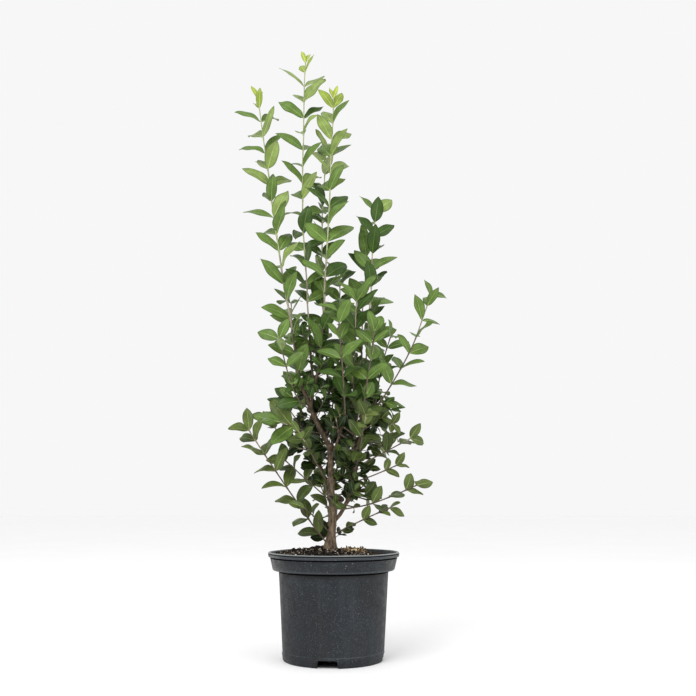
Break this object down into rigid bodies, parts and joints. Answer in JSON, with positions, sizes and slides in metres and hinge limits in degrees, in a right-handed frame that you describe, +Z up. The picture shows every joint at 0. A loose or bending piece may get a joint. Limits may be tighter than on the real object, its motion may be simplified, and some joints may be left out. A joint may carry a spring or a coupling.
{
  "type": "potted california privet",
  "caption": "Young privet shrub with upright leafy shoots and a bushy foot, growing from a pruned trunk in a black round nursery pot filled with soil.",
  "frame": {"origin": "middle of the pot's flat underside", "axes": "+Z up along the pot's axis; the shrub's front faces -Y, with +X to the right of someone who looks at it"},
  "size_m": [0.404, 0.305, 1.1245],
  "materials": {
    "pot_plastic": "dark grey moulded plastic, dusty, with a dull sheen",
    "potting_soil": "dark crumbly potting soil with bark chips",
    "trunk_bark": "grey-brown bark with fine cracks and pores",
    "bough_bark": "brown young bark, smoother than the trunk",
    "foliage": "glossy mid-green leaves with pale midribs on pale green twigs"
  },
  "bodies": {
    "root": {"bough_back": "bough_bark", "bough_back_left": "bough_bark", "bough_back_right": "bough_bark", "bough_centre": "bough_bark", "bough_far_right": "bough_bark", "bough_front": "bough_bark", "bough_left": "bough_bark", "bough_right": "bough_bark", "bough_right_tall": "bough_bark", "bough_tall": "bough_bark", "bush_back": "foliage", "bush_centre": "foliage", "bush_front": "foliage", "bush_front_right": "foliage", "bush_left": "foliage", "bush_low": "foliage", "bush_low_back": "foliage", "bush_low_right": "foliage", "bush_right": "foliage", "pot": "pot_plastic", "shoot_back": "foliage", "shoot_back_left": "foliage", "shoot_back_right": "foliage", "shoot_centre": "foliage", "shoot_centre_back": "foliage", "shoot_far_right": "foliage", "shoot_far_right_low": "foliage", "shoot_front": "foliage", "shoot_front_left": "foliage", "shoot_front_right": "foliage", "shoot_left": "foliage", "shoot_right_back": "foliage", "shoot_right_short": "foliage", "shoot_right_tall": "foliage", "shoot_tall": "foliage", "soil": "potting_soil", "spray_back": "foliage", "spray_back_left": "foliage", "spray_back_low": "foliage", "spray_back_right": "foliage", "spray_front_left": "foliage", "spray_front_right": "foliage", "spray_left": "foliage", "spray_left_big": "foliage", "spray_left_foot": "foliage", "spray_left_low": "foliage", "spray_right": "foliage", "spray_right_low": "foliage", "spray_right_mid": "foliage", "spray_right_stub": "foliage", "trunk": "trunk_bark"}
  },
  "joints": []
}
